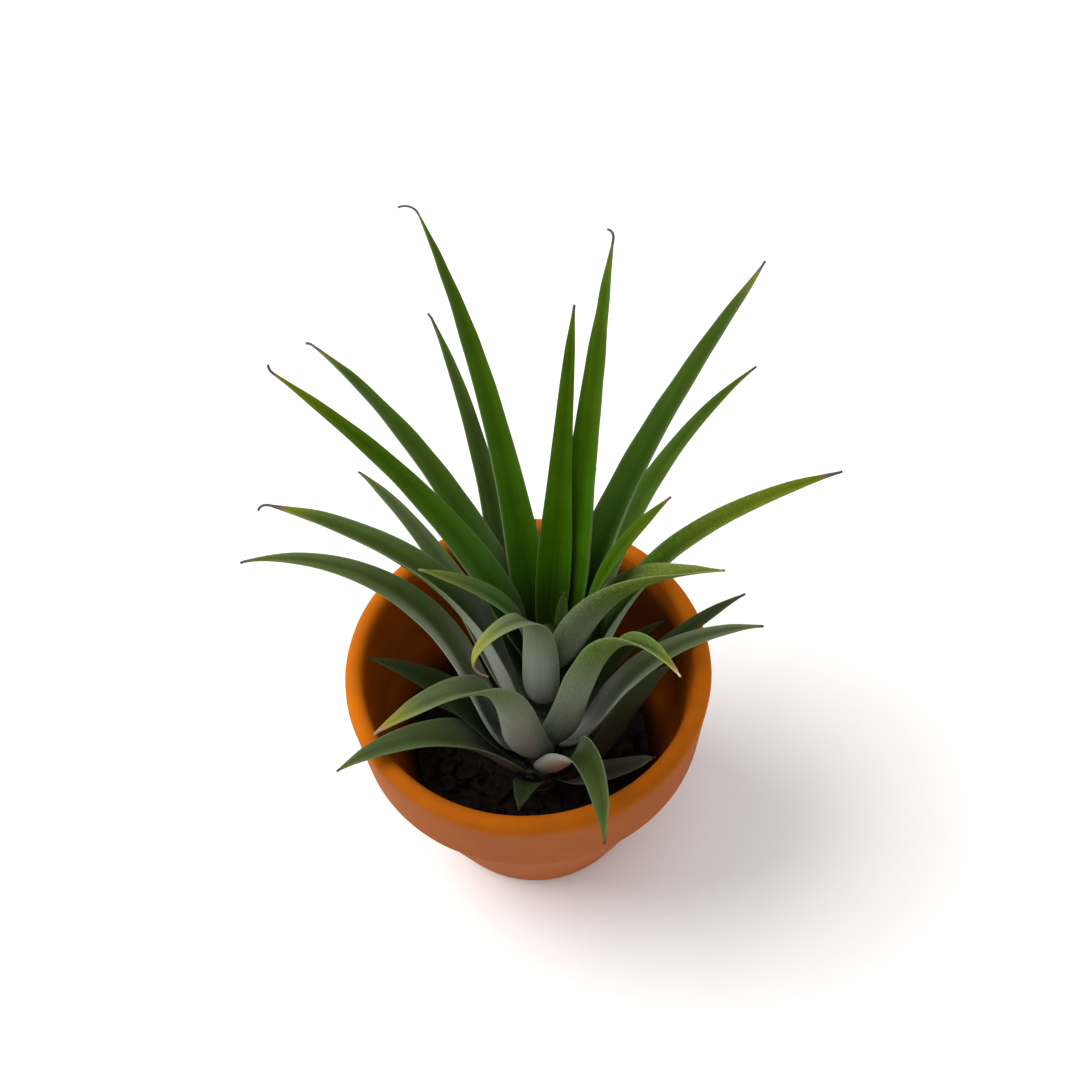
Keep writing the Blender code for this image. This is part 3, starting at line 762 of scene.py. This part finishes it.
def floor_material(settings):
    finish, tree, shader = new_material("pale_floor", 0.9, 0.1)
    place = add(tree, "TexCoord").outputs["Object"]
    tone = mottled(tree, place, settings.floor, 6.0, 0.01)
    put(tree, shader.inputs["Base Color"], tone.outputs["Colour"])
    return finish


# Pot


def inner_radius(height):
    """Radius of the pot's inner wall at a height between its floor and its band."""
    share = (height - FLOOR_THICKNESS) / (POT_HEIGHT - BAND_HEIGHT - FLOOR_THICKNESS)
    neck = BAND_FOOT_RADIUS - BAND_STEP - WALL_THICKNESS
    return FLOOR_RADIUS + (neck - FLOOR_RADIUS) * share


def pot_profile():
    """Underside, wall, band, rounded lip, inner wall and floor."""
    lip = LIP_WIDTH / 2
    band_foot = POT_HEIGHT - BAND_HEIGHT
    floor_edge = FLOOR_THICKNESS + FLOOR_FILLET
    foot = [(0, 0)] + line((0, 0), (BASE_RADIUS - BASE_BEVEL, 0), 5)
    foot += arc((BASE_RADIUS - BASE_BEVEL, BASE_BEVEL), BASE_BEVEL, -90, -20, 6)
    waist = (BAND_FOOT_RADIUS - BAND_STEP, band_foot - BAND_EDGE)
    wall = line(foot[-1], waist, 14) + [waist]
    band = arc((BAND_FOOT_RADIUS - BAND_EDGE, band_foot + BAND_EDGE), BAND_EDGE, -75, 0, 7)
    rim = arc((RIM_RADIUS - lip, POT_HEIGHT - lip), lip, 0, 180, 18)
    neck = (inner_radius(band_foot), band_foot)
    inner = line(rim[-1], neck, 8) + [neck]
    fillet = (inner_radius(floor_edge), floor_edge)
    inner += line(neck, fillet, 12) + [fillet]
    floor = [(FLOOR_RADIUS - FLOOR_FILLET, FLOOR_THICKNESS)]
    floor += line(floor[0], (0, FLOOR_THICKNESS), 5) + [(0, FLOOR_THICKNESS)]
    return foot + wall + band + line(band[-1], rim[0], 7) + rim + inner + floor


class QUILL_OT_pot(bpy.types.Operator):
    """Turn the terracotta pot"""
    bl_idname = "quill.pot"
    bl_label = "Terracotta pot"

    def execute(self, context):
        settings = context.scene.quill_pot
        pot = turn_profile("terracotta_pot", pot_profile(), settings.sides)
        roughen(pot, "thrown wall", THROWN_WAVE * MM, settings.unevenness)
        smooth(pot, 40)
        hand_over(pot, "terracotta", clay_material(settings), "pot")
        return {"FINISHED"}


# Potting mix


def mix_profile():
    """Plug that fills the pot, from its underside up the wall and over its top."""
    floor_edge = FLOOR_THICKNESS + FLOOR_FILLET
    outer = inner_radius(MIX_LEVEL) - GAP
    low = (inner_radius(floor_edge) - GAP, floor_edge + GAP)
    points = [(0, FLOOR_THICKNESS + GAP), (FLOOR_RADIUS - FLOOR_FILLET - GAP, FLOOR_THICKNESS + GAP), low]
    edge, middle = (outer, MIX_LEVEL - EDGE_DROP), (0, MIX_LEVEL - MIDDLE_DROP)
    return points + line(low, edge, 5) + [edge] + line(edge, middle, 20) + [middle]


def make_chip(number, draw, settings):
    """One torn chip of bark, from a cut and shaken block."""
    deselect()
    bpy.ops.mesh.primitive_cube_add(size=1.0, location=(0, 0, 0))
    chip = bpy.context.object
    chip.name = f"chip_{number}"
    bpy.ops.object.mode_set(mode="EDIT")
    bpy.ops.mesh.subdivide(number_cuts=1)
    bpy.ops.object.mode_set(mode="OBJECT")
    size = settings.chip_size * draw.uniform(*CHIP_SIZES)
    shape = Vector((size, size * draw.uniform(*CHIP_WIDTHS), size * draw.uniform(*CHIP_HEIGHTS)))
    for corner in chip.data.vertices:
        pull = 1.0 - 0.22 * (corner.co.length > 0.8)
        shake = Vector([draw.uniform(-CHIP_SHAKE, CHIP_SHAKE) for _ in range(3)])
        corner.co = Vector([shape[k] * (corner.co[k] * pull + shake[k]) for k in range(3)])
    return chip


def make_bed():
    """The bed of mix, lumpy on top."""
    bed = turn_profile("bark_bed", mix_profile(), BED_SIDES)
    top = [v.index for v in bed.data.vertices
           if v.co.z > (MIX_LEVEL - MIDDLE_DROP - 0.1) * MM
           and v.co.xy.length < (inner_radius(MIX_LEVEL) - 1) * MM]
    bed.vertex_groups.new(name="top").add(top, 1.0, "REPLACE")
    roughen(bed, "lumps", LUMP_SIZE * MM, LUMP_HEIGHT * MM, direction="Z", mid_level=0.7, vertex_group="top")
    smooth(bed, 35)
    return bed


def scatter_chips(settings):
    """Chips strewn over the bed, lower and more level round the stem, joined into one piece."""
    draw = random.Random(11)
    chips = []
    reach = inner_radius(MIX_LEVEL) - CHIPS_OFF_WALL
    while len(chips) < settings.chips:
        turn, out = draw.uniform(0, 2 * math.pi), reach * math.sqrt(draw.random())
        x, y = out * cos(turn), out * sin(turn)
        from_stem = math.dist((x, y), STEM_FOOT)
        if from_stem < STEM_RADIUS + CHIPS_OFF_STEM:
            continue
        chip = make_chip(len(chips), draw, settings)
        near = from_stem < LEVEL_ROUND_STEM
        lift = draw.uniform(-0.5, -0.1 if near else 0.5)
        tilt = 0.12 if near else 0.45
        chip.location = (x * MM, y * MM, (MIX_LEVEL + lift) * MM)
        chip.rotation_euler = (draw.uniform(-tilt, tilt), draw.uniform(-tilt, tilt),
                               draw.uniform(0, 2 * math.pi))
        chips.append(chip)
    settle(*chips)
    bpy.ops.object.join()
    heap = bpy.context.object
    heap.name = heap.data.name = "bark_chips"
    smooth(heap, 30)
    return heap


class QUILL_OT_mix(bpy.types.Operator):
    """Lay the bark mix"""
    bl_idname = "quill.mix"
    bl_label = "Bark mix"

    def execute(self, context):
        settings = context.scene.quill_mix
        finish = bark_material(settings)
        hand_over(make_bed(), "bark_mix", finish, "potting_mix")
        hand_over(scatter_chips(settings), "bark_mix", finish)
        return {"FINISHED"}


# Stem


class QUILL_OT_stem(bpy.types.Operator):
    """Turn the short scarred stem"""
    bl_idname = "quill.stem"
    bl_label = "Stem"

    def execute(self, context):
        scars = 22
        profile = [(0, -STEM_ROOT), (0.8 * STEM_RADIUS, -STEM_ROOT), (0.97 * STEM_RADIUS, 0.5 - STEM_ROOT)]
        for k in range(scars):
            low = 1.0 - STEM_ROOT + (STEM_TOP + STEM_ROOT - 1.5) * k / scars
            profile += [(STEM_RADIUS, low), (STEM_RADIUS - 0.22, low + 0.8), (STEM_RADIUS - 0.05, low + 1.5)]
        profile += [(0.75 * STEM_RADIUS, STEM_TOP + 0.4 * STEM_BUD),
                    (0.3 * STEM_RADIUS, STEM_TOP + 0.85 * STEM_BUD), (0, STEM_TOP + STEM_BUD)]
        stem = turn_profile("leafy_stem", profile, 40)
        lean = PLANT.copy()
        lean.translation *= MM
        stem.matrix_world = lean
        settle(stem)
        smooth(stem, 50)
        hand_over(stem, "stem", stem_material(context.scene.quill_leaf), "stem")
        return {"FINISHED"}


# Leaves


def eased(values, low, high):
    """Values carried smoothly from 0 at low to 1 at high."""
    t = np.clip((values - low) / (high - low), 0.0, 1.0)
    return t * t * (3 - 2 * t)


def blade_width(s, long, wide, taper, swell):
    """Width at a distance along the leaf: a narrow foot, a swollen sheath, a long taper."""
    u = s / long
    narrowed = wide * (1 - u) ** taper + TIP_WIDTH * u
    swollen = narrowed * (1 + swell * np.exp(-((s - SHEATH_PEAK) / SHEATH_SPREAD) ** 2))
    grown = np.sin(math.pi / 2 * np.minimum(s / FOOT_LENGTH, 1.0))
    return np.minimum(FOOT_WIDTH, wide) * (1 - grown) + swollen * grown


def leaf_rows(turn, up, long, rise, tip, bend, wide, taper, drift, flare, twist, cup, thread, swell):
    """Place, side, inward direction, width, half angle and distance of each row of a leaf."""
    u = np.linspace(0, 1, BLADE_STEPS + 1)
    slope = np.radians(rise + (tip - rise) * u ** bend - flare * np.exp(-long * u / FLARE_FADE))
    heading = np.radians(turn + drift * u * u)
    turned = np.radians(twist * u)
    step = np.full(BLADE_STEPS, long / BLADE_STEPS)
    length, swing, dip = thread
    v = np.arange(1, THREAD_STEPS + 1) / THREAD_STEPS
    slope = np.concatenate([slope, slope[-1] - np.radians(dip) * v ** 1.5])
    heading = np.concatenate([heading, heading[-1] + np.radians(swing) * v ** 1.5])
    turned = np.concatenate([turned, np.full(THREAD_STEPS, turned[-1])])[:, None]
    step = np.concatenate([step, np.full(THREAD_STEPS, length / THREAD_STEPS)])
    along = np.stack([np.cos(slope) * np.cos(heading), np.cos(slope) * np.sin(heading), np.sin(slope)], -1)
    level = np.stack([-np.sin(heading), np.cos(heading), np.zeros_like(heading)], -1)
    side = level * np.cos(turned) + np.cross(along, level) * np.sin(turned)
    start = np.array([FOOT_RADIUS * cos(radians(turn)), FOOT_RADIUS * sin(radians(turn)), up])
    place = np.vstack([start, start + np.cumsum(along[:-1] * step[:, None], axis=0)])
    distance = np.concatenate([[0.0], np.cumsum(step)])
    width = blade_width(np.minimum(distance, long), long, wide, taper, swell)
    width *= 1 - LATE_POINT * max(0.0, POINTED_TAPER - taper) * eased(distance / long, 0.65, 1.0)
    width *= 1 - FINE_POINT * eased(distance / long, 0.88, 1.0)
    width[BLADE_STEPS + 1:] = width[BLADE_STEPS] * (1.1 - 0.4 * v)
    share = np.minimum(distance / long, 1.0)
    half = CHANNEL_AT_FOOT + (CHANNEL_AT_TIP - CHANNEL_AT_FOOT) * share + cup * np.sin(math.pi * share)
    half[BLADE_STEPS + 1:] = CHANNEL_AT_TIP + 0.6 * v
    return place, side, np.cross(along, side), width, half, distance


def bend_blank(mesh, number, across, rows, ripple):
    """Move a flat blank's points onto the leaf's channelled surface."""
    place, side, inward, width, half, distance = rows
    angle = half * across
    radius = width / (2 * half)
    wander = np.array([noise.noise(Vector((d * 0.13, number * 7.0, 3.0 * a)))
                       for d, a in zip(distance, np.sign(across))])
    lift = radius * (1 - np.cos(angle)) + ripple * wander * across ** 2 * np.minimum(width / 3.0, 1.0)
    points = place + side * (radius * np.sin(angle))[:, None] + inward * lift[:, None]
    points = (np.array(PLANT.to_3x3()) @ points.T).T + np.array(PLANT.translation)
    mesh.vertices.foreach_set("co", (points * MM).ravel())
    mesh.update()


def put_attribute(mesh, name, values):
    """Store a number for each point, or one number for them all."""
    layer = mesh.attributes.new(name, "FLOAT", "POINT")
    layer.data.foreach_set("value", np.broadcast_to(values, len(mesh.vertices)).astype(np.float32))


def mark_blank(mesh, number, name, turn, across, share, width, distance):
    """Store what the leaf's skin reads: the place on the blade, its age and its finish."""
    yellow_from, yellow, dry_from, bleach = TIPS.get(name, PLAIN_TIP)
    scurf, haze, strewn, withered_and_shaded = LOOKS.get(name, PLAIN_LOOK)
    front = eased(-cos(radians(turn)) * across, 0.1, 0.85) * (1 - eased(share, 0.25, 0.75))
    for label, values in {
            "along": share, "edge": np.abs(across), "age": 1.0 - number / (len(LEAVES) - 1),
            "gold": yellow * eased(share, yellow_from, dry_from),
            "dry": eased(share, dry_from - 0.01, dry_from + 0.02), "bleach": bleach,
            "scurf": scurf, "haze": haze, "strewn": strewn, "withered_and_shaded": withered_and_shaded,
            "sheath": SHEATH_SILVER_AND_PAINTED_LIGHT.get(name, 1.0), "front": FRONT_MARGINS.get(name, 0.0) * front}.items():
        put_attribute(mesh, label, values)
    blade = np.stack([across * width / 2, distance + number * 100.0, np.zeros_like(across)], -1)
    layer = mesh.attributes.new("blade", "FLOAT_VECTOR", "POINT")
    layer.data.foreach_set("vector", blade.astype(np.float32).ravel())


def thicken(leaf, across, share, inward, settings):
    """Give a bent blank its thickness, and mark which of its two faces is the under one."""
    body = leaf.vertex_groups.new(name="body")
    lengthwise = np.interp(share, [0.0, 0.3, 0.9, 1.0, 1.1, 1.5], [1.0, 0.85, 0.5, 0.5, 0.6, 0.5])
    crosswise = settings.margin + (1 - settings.margin) * np.sqrt(np.clip(1 - across ** 2, 0, 1))
    for index, weight in enumerate(lengthwise * crosswise):
        body.add([index], float(weight), "REPLACE")
    solid = leaf.modifiers.new("thickness", "SOLIDIFY")
    solid.thickness = settings.thickness
    solid.offset = 0.0
    solid.vertex_group = "body"
    solid.thickness_vertex_group = 0.0
    apply_modifiers(leaf)
    leaf.vertex_groups.clear()
    count = len(across)
    co = np.empty(len(leaf.data.vertices) * 3)
    leaf.data.vertices.foreach_get("co", co)
    co = co.reshape(-1, 3)
    facing = (np.array(PLANT.to_3x3()) @ inward.T).T
    first_is_upper = ((co[:count] - co[count:]) * facing).sum() > 0
    put_attribute(leaf.data, "under", (np.arange(len(co)) >= count) == first_is_upper)


def make_leaf(number, name, numbers, settings):
    """One leaf: a flat blank, bent to its channelled form, then given its thickness."""
    turn, long = numbers[0], numbers[2]
    steps = BLADE_STEPS + THREAD_STEPS
    deselect()
    bpy.ops.mesh.primitive_grid_add(x_subdivisions=ACROSS_STEPS, y_subdivisions=steps, size=1.0,
                                    location=(0, 0, 0))
    leaf = bpy.context.object
    leaf.name = leaf.data.name = name.replace("leaf", "blade")
    flat = np.empty(len(leaf.data.vertices) * 3)
    leaf.data.vertices.foreach_get("co", flat)
    flat = flat.reshape(-1, 3)
    across = np.clip(flat[:, 0] * 2, -1, 1)
    row = np.rint((flat[:, 1] + 0.5) * steps).astype(int)
    rows = leaf_rows(*numbers, THREADS.get(name, SHORT_THREAD), SLIM_SHEATHS.get(name, SHEATH_SWELL))
    rows = [values[row] for values in rows]
    inward, width, distance = rows[2], rows[3], rows[5]
    share = np.minimum(distance / long, 1.0) + np.maximum(distance - long, 0) * 0.1
    bend_blank(leaf.data, number, across, rows, settings.ripple / MM)
    mark_blank(leaf.data, number, name, turn, across, share, width, distance)
    thicken(leaf, across, share, inward, settings)
    return leaf


class QUILL_OT_leaves(bpy.types.Operator):
    """Grow the leaves round the stem, oldest first"""
    bl_idname = "quill.leaves"
    bl_label = "Leaves"

    def execute(self, context):
        settings = context.scene.quill_leaf
        skin = leaf_material(settings)
        for number, (name, *numbers) in enumerate(LEAVES):
            leaf = make_leaf(number, name, numbers, settings)
            smooth(leaf, 60)
            hand_over(leaf, "leaf", skin, name)
        return {"FINISHED"}


# Stage


def key_light(power):
    """The large soft light, above and to the left."""
    deselect()
    bpy.ops.object.light_add(type="AREA", location=KEY_PLACE)
    lamp = bpy.context.object
    lamp.name = "key"
    lamp.data.shape = "DISK"
    lamp.data.size = KEY_SIZE
    lamp.data.energy = power
    lamp.data.color = KEY_COLOUR
    lamp.rotation_euler = (Vector(KEY_AIM) - Vector(KEY_PLACE)).to_track_quat("-Z", "Y").to_euler()


def place_camera(settings):
    """A camera in front of the pot, raised, rolled and aimed as in the photo."""
    rise = settings.elevation
    back = Vector((0.0, -cos(rise), sin(rise)))
    aim = Vector((settings.aim_right, 0.0, settings.aim_up))
    right = Vector((1.0, 0.0, 0.0))
    tilted = right * cos(settings.roll) + back.cross(right) * sin(settings.roll)
    deselect()
    bpy.ops.object.camera_add(location=(0, 0, 0))
    camera = bpy.context.object
    camera.name = "camera"
    camera.matrix_world = Matrix.Translation(aim + back * settings.distance) @ Matrix(
        (tilted, back.cross(tilted), back)).transposed().to_4x4()
    camera.data.sensor_width = SENSOR_MM
    camera.data.lens = settings.lens
    camera.data.clip_start = 0.01
    bpy.context.scene.camera = camera


class QUILL_OT_stage(bpy.types.Operator):
    """Set the pale floor, the soft light and the camera"""
    bl_idname = "quill.stage"
    bl_label = "Stage"

    def execute(self, context):
        settings = context.scene.quill_stage
        deselect()
        bpy.ops.mesh.primitive_plane_add(size=FLOOR_SIZE, location=(0, 0, -FLOOR_DROP))
        floor = context.object
        floor.name = floor.data.name = "floor"
        floor.data.materials.append(floor_material(settings))
        settle(floor)

        world = bpy.data.worlds.new("soft_sky")
        world.use_nodes = True
        sky = world.node_tree.nodes["Background"]
        sky.inputs["Color"].default_value = (1.0, 1.0, 1.0, 1.0)
        sky.inputs["Strength"].default_value = settings.sky
        context.scene.world = world
        key_light(settings.key)
        context.scene.view_settings.view_transform = "Standard"
        context.scene.view_settings.look = "None"

        place_camera(settings)
        return {"FINISHED"}


class QUILL_PT_panel(bpy.types.Panel):
    """Everything the plant is made of"""
    bl_label = "Potted pink quill"
    bl_idname = "QUILL_PT_panel"
    bl_space_type = "VIEW_3D"
    bl_region_type = "UI"
    bl_category = "Quill"

    def draw(self, context):
        for settings, operator in (("quill_pot", "quill.pot"), ("quill_mix", "quill.mix"),
                                   ("quill_leaf", "quill.stem"), ("quill_leaf", "quill.leaves"),
                                   ("quill_stage", "quill.stage")):
            box = self.layout.box()
            box.operator(operator)
            group = getattr(context.scene, settings)
            for name in group.__annotations__:
                box.prop(group, name)


SETTINGS = {"quill_pot": PotSettings, "quill_mix": MixSettings, "quill_leaf": LeafSettings,
            "quill_stage": StageSettings}
CLASSES = (*SETTINGS.values(), QUILL_OT_pot, QUILL_OT_mix, QUILL_OT_stem, QUILL_OT_leaves,
           QUILL_OT_stage, QUILL_PT_panel)


def register():
    for item in CLASSES:
        bpy.utils.register_class(item)
    for name, group in SETTINGS.items():
        setattr(bpy.types.Scene, name, PointerProperty(type=group))


def unregister():
    for name in SETTINGS:
        delattr(bpy.types.Scene, name)
    for item in reversed(CLASSES):
        bpy.utils.unregister_class(item)


def main():
    register()
    bpy.ops.quill.stage()
    bpy.ops.quill.pot()
    bpy.ops.quill.mix()
    bpy.ops.quill.stem()
    bpy.ops.quill.leaves()


if __name__ == "__main__":
    main()
